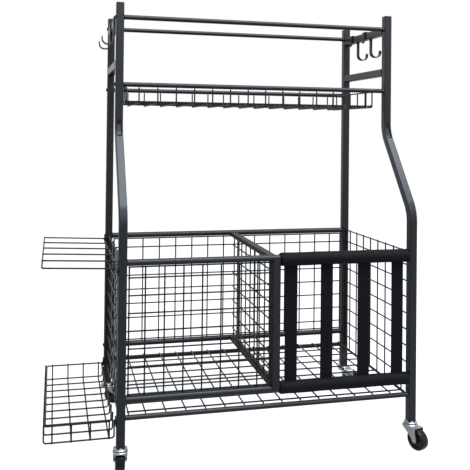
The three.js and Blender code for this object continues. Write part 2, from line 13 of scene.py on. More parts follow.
import bpy
import numpy as np
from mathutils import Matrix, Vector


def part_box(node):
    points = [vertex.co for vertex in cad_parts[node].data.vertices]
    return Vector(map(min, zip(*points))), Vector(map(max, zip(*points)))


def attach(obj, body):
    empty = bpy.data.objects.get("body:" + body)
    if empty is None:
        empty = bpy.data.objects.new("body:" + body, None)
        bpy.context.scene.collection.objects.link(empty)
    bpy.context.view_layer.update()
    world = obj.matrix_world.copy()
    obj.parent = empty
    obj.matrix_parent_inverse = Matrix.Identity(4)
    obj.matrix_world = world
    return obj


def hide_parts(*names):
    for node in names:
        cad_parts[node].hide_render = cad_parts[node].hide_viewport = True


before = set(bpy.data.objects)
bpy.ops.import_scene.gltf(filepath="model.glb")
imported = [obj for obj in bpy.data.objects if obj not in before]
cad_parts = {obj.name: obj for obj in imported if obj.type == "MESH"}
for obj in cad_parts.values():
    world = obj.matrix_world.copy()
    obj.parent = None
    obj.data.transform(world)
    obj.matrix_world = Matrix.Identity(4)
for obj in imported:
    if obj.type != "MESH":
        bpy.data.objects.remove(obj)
scene = bpy.context.scene
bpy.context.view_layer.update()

MM = 1000.0  # millimetres in a metre
POST = 21.0  # side of the square posts
left_low = np.array(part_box("post_rear_left")[0]) * MM
right_high = np.array(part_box("post_rear_right")[1]) * MM
front_low = np.array(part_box("post_front_left")[0]) * MM
SIDE = (right_high[0] - left_low[0] - POST) / 2  # post centres from the middle
REAR = right_high[1] - front_low[1] - POST  # centres of the rear posts
ORIGIN = np.array([(left_low[0] + right_high[0]) / 2, front_low[1] + POST / 2, 0])
print("posts at x", round(SIDE, 1), "rear y", round(REAR, 1), "origin", ORIGIN.round(1))


def in_metres(points):
    """Millimetres of the cart to metres of the CAD frame: add the cart's origin, then divide by 1000."""
    return (np.asarray(points, float) + ORIGIN) / MM

# %% [markdown]
# ## The camera
# The photograph was taken a little left of the middle, at chest height, with the camera nearly level,
# and the picture was then cropped. Such a camera keeps the posts upright, and the crop becomes a lens
# shift. The numbers come from matching the posts, rails and wires with their places in the picture.

# %% Camera
FRAME_PX = 470
CENTRE_PX = (192.048, 121.865)  # where the camera's axis meets the picture
FOCAL_PX = 638.320
CAMERA_MM = (-553.055, -1553.373, 836.546)
YAW, PITCH, ROLL = 0.2117614, -0.0123332, 0.0113313  # radians
SENSOR_MM = 36.0
NEAREST = 0.05  # metres


def camera_axes(yaw, pitch, roll):
    """Right, up and forward from yaw about Z, pitch below the horizon and roll about the view line."""
    forward = np.array([math.sin(yaw) * math.cos(pitch), math.cos(yaw) * math.cos(pitch), -math.sin(pitch)])
    level = np.array([math.cos(yaw), -math.sin(yaw), 0.0])
    upright = np.cross(level, forward)
    right = level * math.cos(roll) + upright * math.sin(roll)
    return right, upright * math.cos(roll) - level * math.sin(roll), forward


def placed(thing, axes, place):
    """Gives an object its three axes, as columns, and its place in metres."""
    matrix = np.eye(4)
    matrix[:3, :3] = np.stack(axes, axis=1)
    matrix[:3, 3] = place
    thing.matrix_world = matrix.T.tolist()
    scene.collection.objects.link(thing)


camera_data = bpy.data.cameras.new("photo_camera")
camera = bpy.data.objects.new("photo_camera", camera_data)
right, up, forward = camera_axes(YAW, PITCH, ROLL)
placed(camera, [right, up, -forward], in_metres(CAMERA_MM))
camera_data.sensor_width = SENSOR_MM
camera_data.lens = FOCAL_PX / FRAME_PX * SENSOR_MM
camera_data.shift_x = (FRAME_PX / 2 - CENTRE_PX[0]) / FRAME_PX
camera_data.shift_y = (CENTRE_PX[1] - FRAME_PX / 2) / FRAME_PX
camera_data.clip_start = NEAREST
scene.camera = camera
print("camera at", in_metres(CAMERA_MM).round(3), "lens", round(camera_data.lens, 2))

# %% [markdown]
# ## Floor and light
# The cart stands in an even white studio. The lamps stay at a plain level, so that a colour renders
# about as it is written. The white comes from what camera and glossy rays see, not from more light:
# the floor glows for the camera, and more dimly for glossy paint, and its lit part still darkens
# where the cart shades it.

# %% Node helpers
def rgba(*linear):
    return (*linear, 1.0)


WHITE = rgba(1, 1, 1)
BLACK = rgba(0, 0, 0)


def add_node(tree, kind, values=None, **settings):
    """One shader node: settings are its properties, values its sockets by name or number."""
    made = tree.nodes.new("ShaderNode" + kind)
    for key, value in settings.items():
        setattr(made, key, value)
    for key, value in (values or {}).items():
        socket = made.inputs[key]
        if isinstance(value, bpy.types.NodeSocket):
            tree.links.new(value, socket)
        else:
            socket.default_value = value
    return made


def maths(tree, operation, *terms):
    return add_node(tree, "Math", dict(enumerate(terms)), operation=operation).outputs[0]


def seen_directly(tree, mirrored=1.0):
    """1 for camera and transmission rays, mirrored for glossy ones, 0 for the light that falls on things."""
    light_path = add_node(tree, "LightPath").outputs
    glossy = maths(tree, "MULTIPLY", light_path["Is Glossy Ray"], mirrored)
    either = maths(tree, "MAXIMUM", light_path["Is Camera Ray"], glossy)
    return maths(tree, "MAXIMUM", either, light_path["Is Transmission Ray"])


def new_tree(owner):
    owner.use_nodes = True
    owner.node_tree.nodes.clear()
    return owner.node_tree


print("white is", WHITE, "black is", BLACK)

# %% World and floor
SKY = 0.36
SKY_TINT = rgba(0.93, 0.96, 1.0)
FLOOR_PAINT = rgba(0.38, 0.38, 0.38)
FLOOR_GLOW = 0.86
FLOOR_MIRRORED = 0.25  # how much of the glow shows in glossy paint
FLOOR_REACH = 6.0  # metres each way

world = bpy.data.worlds.new("studio")
scene.world = world
tree = new_tree(world)
lit = add_node(tree, "Background", {"Color": SKY_TINT, "Strength": SKY})
white = add_node(tree, "Background", {"Color": WHITE, "Strength": 1.0})
chosen = {0: seen_directly(tree), 1: lit.outputs[0], 2: white.outputs[0]}
mixed = add_node(tree, "MixShader", chosen)
add_node(tree, "OutputWorld", {"Surface": mixed.outputs[0]})

floor_material = bpy.data.materials.new("studio_floor")
tree = new_tree(floor_material)
paint = add_node(tree, "BsdfDiffuse", {"Color": FLOOR_PAINT})
strength = maths(tree, "MULTIPLY", seen_directly(tree, FLOOR_MIRRORED), FLOOR_GLOW)
glow = add_node(tree, "Emission", {"Color": WHITE, "Strength": strength})
both = add_node(tree, "AddShader", {0: paint.outputs[0], 1: glow.outputs[0]})
add_node(tree, "OutputMaterial", {"Surface": both.outputs[0]})

floor_mesh = bpy.data.meshes.new("studio_floor")
floor_corners = [(x * FLOOR_REACH, y * FLOOR_REACH, 0) for x, y in ((-1, -1), (1, -1), (1, 1), (-1, 1))]
floor_mesh.from_pydata(floor_corners, [], [(0, 1, 2, 3)])
floor_mesh.materials.append(floor_material)
floor = bpy.data.objects.new("studio_floor", floor_mesh)
scene.collection.objects.link(floor)
print("studio: sky", SKY, "floor glow", FLOOR_GLOW)

# %% Lamps
LAMPS = {  # name: (place, target, width and height in metres, watts, colour)
    "overhead_softbox": ((0.8, -1.15, 3.2), (0.5, 0.0, 0.6), (3.2, 1.2), 138, (0.86, 0.93, 1.0)),
    "front_softbox": ((0.8, -2.8, 2.3), (0.2, 0.0, 0.7), (3.0, 1.1), 30, (0.9, 0.95, 1.0)),
}


def unit(vector):
    return vector / np.linalg.norm(vector, axis=-1, keepdims=True)


# Each softbox stands at its place and is turned to face its target
for name, (place, target, size, power, colour) in LAMPS.items():
    lamp_data = bpy.data.lights.new(name, "AREA")
    lamp_data.shape = "RECTANGLE"
    lamp_data.size, lamp_data.size_y = size
    lamp_data.energy, lamp_data.color = power, colour
    back = unit(np.subtract(place, target))
    side = unit(np.cross((0, 0, 1), back))
    placed(bpy.data.objects.new(name, lamp_data), [side, np.cross(back, side), back], place)
scene.view_settings.view_transform = "Standard"
print("lamps:", list(LAMPS))

# %% [markdown]
# ## Effects that several finishes share
# Powder coat is sprayed plastic powder melted on steel. Close up it shows a fine pebbled skin. Faces
# that look up get a bluish grey that is partly settled dust and partly painted highlight, and faces
# that look down get painted shade. Woven cloth is ribs running two ways. Each effect is a node group
# with named inputs, built once and placed in each material with its own values. A group puts out
# only colours, masks and heights, and the shader itself stays in the material.

# %% Node group helpers
def new_group(name, inputs, outputs):
    """An empty shader group and its two end nodes. A socket whose value is a tuple is a colour."""
    made = bpy.data.node_groups.new(name, "ShaderNodeTree")
    for direction, sockets in (("INPUT", inputs), ("OUTPUT", outputs)):
        for label, value in sockets.items():
            kind = "NodeSocketColor" if isinstance(value, tuple) else "NodeSocketFloat"
            made.interface.new_socket(label, in_out=direction, socket_type=kind).default_value = value
    return made, made.nodes.new("NodeGroupInput").outputs, made.nodes.new("NodeGroupOutput").inputs


def noise(tree, place, scale, detail):
    """The grey of a noise texture with about scale blotches to the metre."""
    values = {"Vector": place, "Scale": scale, "Detail": detail}
    return add_node(tree, "TexNoise", values).outputs["Fac"]


def colour_mix(tree, share, first, second):
    """The first colour where share is 0, the second where it is 1."""
    return add_node(tree, "Mix", {0: share, 6: first, 7: second}, data_type="RGBA").outputs[2]


print("groups so far:", len(bpy.data.node_groups))

# %% Coat group
BROAD_SCALE, SPECK_SCALE = 14.0, 260.0  # patches of gloss, and specks in the dust and painted highlight, to the metre
UNDERSIDE_GAIN = -1.6  # how fast the painted shade darkens the skin as it turns to look down
EVEN_DUST_SHARE = 0.3  # the part of the dust that lies on every face


def coat_group():
    """Pebbled skin: fine noise for height, broad noise for a slight change of gloss, and a second colour
    that grows with how far the surface looks up, on the coats a bluish grey that is partly a dusting
    and partly painted highlight. Where the surface looks down its colour darkens towards black:
    painted shade."""
    group, given, wanted = new_group(
        "coat_skin",
        {"Grain Scale": 900.0, "Colour": BLACK, "Upward Colour": BLACK, "Upward Share": 0.03}
        | {"Gloss": 0.4, "Gloss Change": 0.08, "Painted Underside Shade": 0.0},
        {"Colour": BLACK, "Roughness": 0.5, "Height": 0.0},
    )
    calculate, times = partial(maths, group), partial(maths, group, "MULTIPLY")
    place = add_node(group, "TexCoord").outputs["Object"]
    pebbles = noise(group, place, given["Grain Scale"], 2.0)
    broad = noise(group, place, BROAD_SCALE, 4.0)
    specks = noise(group, place, SPECK_SCALE, 3.0)
    normal = add_node(group, "NewGeometry").outputs["Normal"]
    lift = add_node(group, "SeparateXYZ", {0: normal}).outputs[2]
    upward = calculate("MAXIMUM", lift, 0.0)
    # Painted shade: faces that look down are darkened towards black
    downward = calculate("MAXIMUM", times(lift, UNDERSIDE_GAIN), 0.0)
    underside_shade = times(calculate("MINIMUM", downward, 1.0), given["Painted Underside Shade"])
    # On faces that look up: a grey share that is partly dust and partly painted highlight
    upward_patches = times(upward, times(specks, broad))
    top_share = times(calculate("ADD", upward_patches, EVEN_DUST_SHARE), given["Upward Share"])
    top_toned = colour_mix(group, top_share, given["Colour"], given["Upward Colour"])
    group.links.new(colour_mix(group, underside_shade, top_toned, BLACK), wanted["Colour"])
    change = times(calculate("SUBTRACT", broad, 0.5), given["Gloss Change"])
    group.links.new(calculate("ADD", given["Gloss"], change), wanted["Roughness"])
    group.links.new(pebbles, wanted["Height"])
    return group


COAT = coat_group()
print("group:", COAT.name)

# %% Weave group
FIBRE_SCALE = 700.0
FIBRE_HEIGHT = 0.35  # of the ribs' height


def weave_group():
    """Two sets of ribs that cross over and under: a sine of each UV coordinate over its pitch, the
    two multiplied, with loose fibres of noise."""
    group, given, wanted = new_group(
        "weave",
        {"Across Pitch": 0.001, "Along Pitch": 0.001, "Colour": BLACK, "Thread Colour": BLACK},
        {"Colour": BLACK, "Height": 0.0},
    )
    calculate, times = partial(maths, group), partial(maths, group, "MULTIPLY")
    uv = add_node(group, "UVMap").outputs[0]
    across, along, _ = add_node(group, "SeparateXYZ", {0: uv}).outputs

    def ribs(coordinate, pitch):
        return calculate("SINE", calculate("DIVIDE", times(coordinate, 2 * math.pi), given[pitch]))

    crossed = times(ribs(across, "Across Pitch"), ribs(along, "Along Pitch"))
    level = calculate("MULTIPLY_ADD", crossed, 0.5, 0.5)
    fibres = times(noise(group, uv, FIBRE_SCALE, 3.0), FIBRE_HEIGHT)
    group.links.new(colour_mix(group, level, given["Colour"], given["Thread Colour"]), wanted["Colour"])
    group.links.new(calculate("ADD", level, fibres), wanted["Height"])
    return group


WEAVE = weave_group()
print("group:", WEAVE.name)

# %% [markdown]
# ## Finishes
# The frame, the wire and the hooks share the powder coat with slightly different gloss. The casters
# are bright zinc plate, the wheels black moulded plastic. Constant values such as specular level sit on
# the shader's own sockets, and only what changes over the surface comes through a group.

# %% Kinds of finish
BUMP_REACH = 0.0002  # height of the relief, metres
# A bluish grey for faces that look up: partly dust, partly painted highlight
DUST_AND_HIGHLIGHT_GREY = rgba(0.3, 0.34, 0.4)


def finish(name, group, effect, shader, bump):
    """A Principled shader with its plain values in shader, fed by a group with the values in effect."""
    made = bpy.data.materials.new(name)
    tree = new_tree(made)
    given = add_node(tree, "Group", effect, node_tree=group).outputs
    relief = {"Strength": bump, "Distance": BUMP_REACH, "Height": given["Height"]}
    linked = {"Base Color": given["Colour"], "Normal": add_node(tree, "Bump", relief).outputs[0]}
    if "Roughness" in given:
        linked["Roughness"] = given["Roughness"]
    bsdf = add_node(tree, "BsdfPrincipled", shader | linked)
    add_node(tree, "OutputMaterial", {"Surface": bsdf.outputs[0]})
    return made


def coated(name, colour, gloss, grain=900.0, dust_and_highlight=0.06, bump=0.35, specular=0.4, underside_shade=0.8, tint=WHITE):
    """Powder coat or plastic in one colour: gloss is its roughness, grain its pebbles per metre. A
    bluish grey on faces that look up is partly a dusting and partly painted highlight, and its
    underside share sets how far painted shade darkens the underside."""
    effect = {"Grain Scale": grain, "Colour": colour, "Upward Colour": DUST_AND_HIGHLIGHT_GREY, "Upward Share": dust_and_highlight}
    effect |= {"Gloss": gloss, "Painted Underside Shade": underside_shade}
    return finish(name, COAT, effect, {"Specular IOR Level": specular, "Specular Tint": tint}, bump)


def plated(name, colour, dull, gloss, underside_shade):
    """Zinc plate: colour is its bright tone, dull the tone of its worn patches, which grow on faces
    that look up, and its underside share how far painted shade darkens the underside.
    """
    effect = {"Grain Scale": 420.0, "Colour": colour, "Upward Colour": dull, "Upward Share": 0.6}
    effect |= {"Gloss": gloss, "Gloss Change": 0.2, "Painted Underside Shade": underside_shade}
    return finish(name, COAT, effect, {"Metallic": 1.0}, 0.12)


def woven(name, pitches, colour, thread, bump, roughness, sheen, specular):
    """Cloth with two rib pitches in metres, and sheen as its weight and its roughness."""
    across, along = pitches
    effect = {"Across Pitch": across, "Along Pitch": along, "Colour": colour, "Thread Colour": thread}
    shader = {"Roughness": roughness, "Sheen Weight": sheen[0], "Sheen Roughness": sheen[1]}
    return finish(name, WEAVE, effect, shader | {"Specular IOR Level": specular}, bump)


print("relief is", BUMP_REACH, "m high")

# %% Materials
# Coats below: painted shade on faces that look down, dust with painted highlight on faces that look up
SHINE = rgba(0.92, 0.96, 1.0)
FRAME_COAT = coated("frame_powder_coat", rgba(0.0024, 0.0028, 0.0042), 0.33, specular=0.34, tint=SHINE)
WIRE_COAT = coated("wire_coat", rgba(0.0045, 0.0047, 0.0055), 0.4, grain=1400.0, specular=0.2, underside_shade=0.1)
DIVIDER_BLACK = rgba(0.007, 0.0072, 0.008)
DIVIDER_COAT = coated("divider_coat", DIVIDER_BLACK, 0.55, grain=520.0, bump=0.5, specular=0.22)
HOOK_COAT = coated("hook_coat", rgba(0.003, 0.0032, 0.004), 0.3, specular=0.26)
CAP_PLASTIC = coated("cap_plastic", rgba(0.01, 0.0105, 0.012), 0.5, grain=1600.0)
BOLT_COAT = coated("bolt_black_oxide", rgba(0.008, 0.008, 0.009), 0.3, grain=1500.0)
TYRE_BLACK = rgba(0.002, 0.002, 0.0022)
TREAD_PLASTIC = coated("tread_plastic", TYRE_BLACK, 0.24, grain=1100.0, dust_and_highlight=0.03, specular=0.22)
ZINC_RING = plated("zinc_ring", rgba(0.44, 0.48, 0.5), rgba(0.28, 0.31, 0.33), gloss=0.28, underside_shade=0.85)
ZINC_SHEET = plated("zinc_sheet", rgba(0.44, 0.435, 0.42), rgba(0.34, 0.33, 0.315), gloss=0.42, underside_shade=0.6)
SLEEVE_CLOTH = woven(
    "sleeve_cloth", (0.0011, 0.0011), rgba(0.003, 0.003, 0.0042), rgba(0.007, 0.007, 0.0098),
    bump=0.4, roughness=0.6, sheen=(0.015, 0.45), specular=0.08,
)
STRAP_WEBBING = woven(
    "strap_webbing", (0.0016, 0.0013), rgba(0.004, 0.0038, 0.005), rgba(0.009, 0.0085, 0.0112),
    bump=0.5, roughness=0.75, sheen=(0.02, 0.5), specular=0.06,
)
print("finishes:", len(bpy.data.materials))

# %% [markdown]
# ## From arrays to pieces
# Nearly every piece here is one section carried along a path: a rounded square for the tubes, a circle
# for the wires, a flat strip for the hooks. So one function does the carrying, another rounds the
# corners of a path, and a third joins several such bodies into one mesh and puts it in the scene.

# %% Sections
X, Y, Z = np.eye(3)


def circle(radius, sides):
    """Points at equal angles round a circle."""
    angle = (np.arange(sides) + 0.5) * 2 * np.pi / sides
    return radius * np.stack([np.cos(angle), np.sin(angle)], axis=1)


def rounded_box(width, height, corner, steps=4, flats=3):
    """A rectangle whose corners are quarter circles: each corner's centre plus its arc, with a few
    points spread evenly over the flat side that follows it."""
    arcs = []
    for number, (sx, sy) in enumerate([(1, 1), (-1, 1), (-1, -1), (1, -1)]):
        centre = np.array([sx * (width / 2 - corner), sy * (height / 2 - corner)])
        angle = np.linspace(0, np.pi / 2, steps + 1) + number * np.pi / 2
        arcs.append(centre + corner * np.stack([np.cos(angle), np.sin(angle)], axis=1))
    along = np.linspace(0, 1, flats + 2)[1:-1, None]
    sides = [a[-1] + along * (b[0] - a[-1]) for a, b in zip(arcs, arcs[1:] + arcs[:1])]
    return np.concatenate([part for pair in zip(arcs, sides) for part in pair])


print("a rounded square has", len(rounded_box(2, 2, 1)), "points")

# %% Paths
def rounded_path(corners, radii, steps=6):
    """Straight runs joined by arcs. At a corner with unit directions a in and b out, the arc starts
    r tan(turn / 2) before the corner and swings about a centre r to the inside."""
    corners = np.asarray(corners, float)
    radii = np.broadcast_to(radii, len(corners) - 2)
    run = [corners[:1]]
    for before, corner, after, radius in zip(corners, corners[1:], corners[2:], radii):
        a, b = unit(corner - before), unit(after - corner)
        turn = math.acos(np.clip(a @ b, -1, 1))
        inward = unit(b - a * (a @ b))
        angle = np.linspace(0, turn, steps + 1)[:, None]
        start = corner - a * radius * math.tan(turn / 2)
        run.append(start + radius * (a * np.sin(angle) + inward * (1 - np.cos(angle))))
    run.append(corners[-1:])
    return np.concatenate(run)


def with_tips(path, depth, first_reach, last_reach, blunt):
    """The path with a few rings at each end, a share depth of the reach into it, and the width there:
    sqrt(1 - (1 - depth)^2 (1 - blunt)), a half circle that stops a little short of its point."""
    first = path[0] + depth[:, None] * first_reach * unit(path[1] - path[0])
    last = path[-1] + depth[::-1, None] * last_reach * unit(path[-2] - path[-1])
    width = np.sqrt(1 - (1 - depth) ** 2 * (1 - blunt))
    widths = np.concatenate([width, np.ones(len(path) - 2), width[::-1]])
    return np.concatenate([first, path[1:-1], last]), widths


print("a right angle takes", len(rounded_path([X, 0 * X, Y], 0.5)), "points")

# %% Surfaces
def joined(*coordinates):
    return np.stack(np.broadcast_arrays(*coordinates), axis=-1)


def skin(rings, closed=False):
    """Quads through rings of points, joined up into a loop or else capped at both ends. They point
    out when the signed volumes of the cones from the origin to the faces add up to more than 0."""
    points = rings.reshape(-1, 3)
    near = np.arange(len(points)).reshape(rings.shape[:2])
    far, caps = np.roll(near, -1, 0), []
    if not closed:
        caps = [near[0, ::-1].tolist(), near[-1].tolist()]
        near, far = near[:-1], far[:-1]
    quads = joined(near, np.roll(near, -1, 1), np.roll(far, -1, 1), far).reshape(-1, 4)
    a, b, c, d = points[quads.T]
    volume = (a * np.cross(b, c)).sum() + (a * np.cross(c, d)).sum()
    for cap in caps:
        ring = points[cap]
        volume += (ring[0] * np.cross(ring[1:-1], ring[2:])).sum()
    faces = quads.tolist() + caps
    return points, [face[::-1] for face in faces] if volume < 0 else faces


def sweep(path, side, section, scale=1.0, closed=False):
    """A section carried along a path in one plane. Each ring is path + side u + (side x tangent) v,
    where (u, v) are the section's points times the scale there and side is square to the plane."""
    path, side = np.asarray(path, float), unit(side)
    tangent = unit(np.roll(path, -1, 0) - np.roll(path, 1, 0) if closed else np.gradient(path, axis=0))
    across = np.cross(side, tangent)
    section = np.broadcast_to(section, (len(path), *section.shape[-2:]))
    size = np.broadcast_to(scale, len(path))[:, None, None]
    rings = path[:, None] + size * (section[..., :1] * side + section[..., 1:] * across[:, None])
    return skin(rings, closed)


def turned(profile, sides):
    """A profile of radius and height turned about Z. One that starts on the axis is closed there, and
    one that starts away from it is joined up into a ring."""
    profile = np.asarray(profile, float)
    angle = np.arange(sides) * 2 * np.pi / sides
    around = np.stack([np.cos(angle), np.sin(angle), np.zeros(sides)], axis=1)
    return skin(profile[:, None, :1] * around + profile[:, None, 1:] * Z, closed=profile[0, 0] > 1)


print("a tube of 6 sides has", len(sweep([0 * Z, Z], X, circle(1, 6))[1]), "faces")

# %% Wires
WIRE = 2.0  # wire radius
WIRE_SIDES = 10
CROSSING = 3.6  # from a wire's centre to the centre of the wire laid across it
TIP_SHARES = np.array([0.0, 0.25, 0.6, 1.0])  # of a wire's radius
TIP_BLUNT = 0.06


def wire(path, side):
    """A round wire along a path, with soft tips."""
    run, width = with_tips(np.asarray(path, float), TIP_SHARES, WIRE, WIRE, TIP_BLUNT)
    return sweep(run, side, circle(WIRE, WIRE_SIDES), width)


print("a straight wire has", len(wire([0 * X, 9 * X], Y)[0]), "points")

# %% Moving bodies
def moved(body, matrix=np.eye(3), by=(0, 0, 0)):
    """The same body turned by a 3 x 3 matrix, then shifted."""
    points, faces = body
    return points @ matrix.T + by, faces


def about(axis, degrees):
    """Rotation matrix about a unit axis: I + sin K + (1 - cos) K^2, where K v is axis x v."""
    angle, cross = math.radians(degrees), np.cross(np.eye(3), axis)
    return np.eye(3) + math.sin(angle) * cross + (1 - math.cos(angle)) * cross @ cross


print("X after a quarter turn about Z:", (about(Z, 90) @ X).round(3))

# %% Pieces
def add_piece(name, bodies, material, node=None, slot="black_steel", body="root", soften=35, uv=None):
    """Joins bodies into one mesh, parents it to the body it rides on and hides the CAD node it stands for."""
    counts = np.cumsum([0] + [len(points) for points, _ in bodies])
    points = in_metres(np.concatenate([points for points, _ in bodies]))
    faces = [[corner + start for corner in face] for (_, part), start in zip(bodies, counts) for face in part]
    mesh = bpy.data.meshes.new(name)
    mesh.from_pydata(points.tolist(), [], faces)
    mesh.materials.append(material)
    if uv is not None:
        corners = np.empty(len(mesh.loops), int)
        mesh.loops.foreach_get("vertex_index", corners)
        mesh.uv_layers.new(name="UVMap").data.foreach_set("uv", uv[corners].ravel())
    mesh.shade_smooth()
    mesh.set_sharp_from_angle(angle=math.radians(soften))
    piece = bpy.data.objects.new(name, mesh)
    scene.collection.objects.link(piece)
    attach(piece, body)
    if node:
        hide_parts(node)
    return piece


def dress(node, form, bodies, material, **rest):
    """A piece named for the CAD node that it stands for and for the form that it shows."""
    return add_piece(node + "_" + form, bodies, material, node, **rest)


def dress_wires(node, bodies):
    dress(node, "wires", bodies, WIRE_COAT)

# %% [markdown]
# ## Posts
# Each post is square tube with rounded corners. The front posts lean back higher up, between two
# bends, and the wall on the inside of a bend dishes in, as it has nowhere to go. A plain sweep would
# leave it flat, so the section changes along the path: its inner wall sinks into a trough.

# %% Posts
UPPER = 141.0  # the upper front posts stand this far behind the lower ones
POST_FOOT, POST_TOP = 68.0, 1170.0
BEND_HIGH, BEND_LOW = 835.0, 623.0
BEND_RADIUS = 90.0
BEND_REACH = 26.0  # half the height of a bend
CORNER = 2.6  # outer corner radius of the square tube
SQUARE = rounded_box(POST, POST, CORNER)
COLLAR, LONG_RUN = 2.0, 20.0
POSTS = {"front_left": -SIDE, "front_right": SIDE, "rear_left": -SIDE, "rear_right": SIDE}


def with_collars(path):
    """A ring added near each end of every long straight run, so that a dish's shading stops there."""
    rings = [path[0]]
    for start, end in zip(path[:-1], path[1:]):
        step = unit(end - start) * COLLAR
        rings += [start + step, end - step, end] if np.linalg.norm(end - start) > LONG_RUN else [end]
    return np.array(rings)


print("posts:", list(POSTS))

# %% Dished bends
DISH, DISH_WIDTH, DISH_SIDE = 3.8, 14.0, 2.4  # depth of the dish at a bend, its width and its sloping side
FADE_SHARE, FADE_RATE = 1.05, 1.7  # where the trough starts on the upright side, and how fast
STOP_SHARE, STOP_STEP = -0.84, 0.2  # where it stops on the sloping side, and over what way
FRONT_WALL, REAR_WALL = -1, 1  # signs of v on a path that runs down


def eased(t):
    """A smooth step, t^2 (3 - 2 t) between 0 and 1."""
    t = np.clip(t, 0, 1)
    return t * t * (3 - 2 * t)


def dished(section, path, bends):
    """The section at each ring. On the wall towards the inside of a bend, v moves inwards by DISH
    times a smooth step, once across the wall and once from each end of the bend, where the trough
    fades in from the upright side and stops short on the sloping side. Levels are in bend reaches."""
    u, v = section[:, 0], section[:, 1]
    floor_share = eased((DISH_WIDTH / 2 - np.abs(u)) / DISH_SIDE)
    sections = np.repeat(section[None], len(path), 0)
    for height, wall, upright in bends:
        level = upright * (path[:, 2] - height) / BEND_REACH
        trough = eased(FADE_RATE * (FADE_SHARE - level)) * eased((level - STOP_SHARE) / STOP_STEP)
        sections[:, :, 1] -= wall * DISH * trough[:, None] * (floor_share * (np.sign(v) == wall))
    return sections


def front_post(x):
    corners = [(x, UPPER, POST_TOP), (x, UPPER, BEND_HIGH), (x, 0, BEND_LOW), (x, 0, POST_FOOT)]
    path = with_collars(rounded_path(corners, BEND_RADIUS, steps=20))
    bends = [(BEND_HIGH, FRONT_WALL, 1), (BEND_LOW, REAR_WALL, -1)]
    return sweep(path, X, dished(rounded_box(POST, POST, CORNER, flats=19), path, bends))


print("front post has", len(front_post(-SIDE)[0]), "points")

# %% Caps
CAP_RISE = (0.3, 1.0, 1.9, 2.6, 3.0, 3.25)
CAP_SHARES = (1.0, 1.0, 0.965, 0.82, 0.5, 0.12)  # of the post's outline


def cap(x, y):
    """A plug's flange and its low dome: rings of the post's outline that draw in as they rise."""
    return sweep([(x, y, POST_TOP + rise) for rise in CAP_RISE], X, SQUARE, CAP_SHARES)


for name, x in POSTS.items():
    post, y = sweep([(x, REAR, POST_TOP), (x, REAR, POST_FOOT)], X, SQUARE), REAR
    if name.startswith("front"):
        post, y = front_post(x), UPPER
    dress("post_" + name, "tube", [post], FRAME_COAT)
    add_piece("post_" + name + "_cap", [cap(x, y)], CAP_PLASTIC, "post_cap_" + name, slot="black_plastic")
print("caps rise", CAP_RISE[-1], "mm")

# %% [markdown]
# ## Cross rails and side bars
# Ten round tubes run from side to side. Each is drawn up against the posts by a bolt through the post,
# so a domed bolt head shows on the outside. The hook bars and the braces are square tube welded in
# place: the weld bead is a short flare where the tube meets the post.

# %% Rails
INNER = SIDE - POST / 2  # inner faces of the posts
GAP = 0.3
FACE = POST / 2 + GAP  # from a post's centre to a piece that touches it
THIN, THICK = 6.35, 8.0  # radii
FLARE_LENGTH, FLARE_RINGS = 2.6, 5
RAIL_FLARE, BAR_FLARE, DIVIDER_FLARE = 0.16, 0.07, 0.08  # shares by which a tube's end grows
RAIL_SIDES = 28
RAILS = {  # name: (radius, height of the front one, height of the rear one, y of the front one)
    "top_rail": (THIN, 1134.0, 1141.0, UPPER),
    "tray_rail": (THIN, 955.0, 955.0, UPPER),
    "bin_rail": (THICK, 511.5, 511.5, 0.0),
    "base_rail": (THICK, 180.0, 180.0, 0.0),
    "floor_rail": (THIN, 136.5, 136.5, 0.0),
}


def flared(start, end, side, section, flare):
    """A straight tube whose section is scaled by 1 + flare t^2 at both ends, where t is the share of
    the flare's length that is left to the end."""
    start, end = np.asarray(start, float), np.asarray(end, float)
    depth = np.linspace(0, FLARE_LENGTH, FLARE_RINGS)
    way = depth[:, None] * unit(end - start)
    scale = 1 + flare * (1 - depth / FLARE_LENGTH) ** 2
    path = np.concatenate([start + way, end - way[::-1]])
    return sweep(path, side, section, np.concatenate([scale, scale[::-1]]))


for name, (radius, front_height, rear_height, front) in RAILS.items():
    for place, y, height in (("front", front, front_height), ("rear", REAR, rear_height)):
        ends = (GAP - INNER, y, height), (INNER - GAP, y, height)
        rail = flared(*ends, Y, circle(radius, RAIL_SIDES), RAIL_FLARE)
        dress(name + "_" + place, "tube", [rail], FRAME_COAT)
print("rails:", 2 * len(RAILS))

# %% Side bars
HOOK_BAR, BRACE = 1130.0, 1010.0
for side, x in (("left", -SIDE), ("right", SIDE)):
    for name, height in (("hook_bar", HOOK_BAR), ("side_brace", BRACE)):
        ends = (x, UPPER + FACE, height), (x, REAR - FACE, height)
        dress(name + "_" + side, "tube", [flared(*ends, X, SQUARE, BAR_FLARE)], FRAME_COAT)
print("hook bars at", HOOK_BAR, "braces at", BRACE)

# %% Bolt heads
HEAD_SIDES = 24
# A button head from its middle outwards, as radius and height, with a round well for the key
DOME = [
    (0.01, 1.3), (1.9, 1.3), (2.1, 3.3), (3.0, 3.35), (4.2, 2.8), (5.1, 1.6), (5.4, 0.4), (5.4, 0.0),
    (0.01, 0.0),
]


heads = [
    moved(turned(DOME, HEAD_SIDES), about(Y, 90 * sign), (sign * (SIDE + POST / 2), y, height))
    for _, front_height, rear_height, front in RAILS.values()
    for y, height in ((front, front_height), (REAR, rear_height))
    for sign in (-1, 1)
]
add_piece("rail_bolt_heads", heads, BOLT_COAT)
print(len(heads), "bolt heads")

# %% [markdown]
# ## Welded wire
# The bins are closed by panels of round wire laid crosswise and spot welded. The wires at a panel's
# edge carry on a millimetre past the last crossing wire. Each wire is a swept circle with soft tips.
# The two layers sink into each other by 0.4 mm, as spot welds press them together.

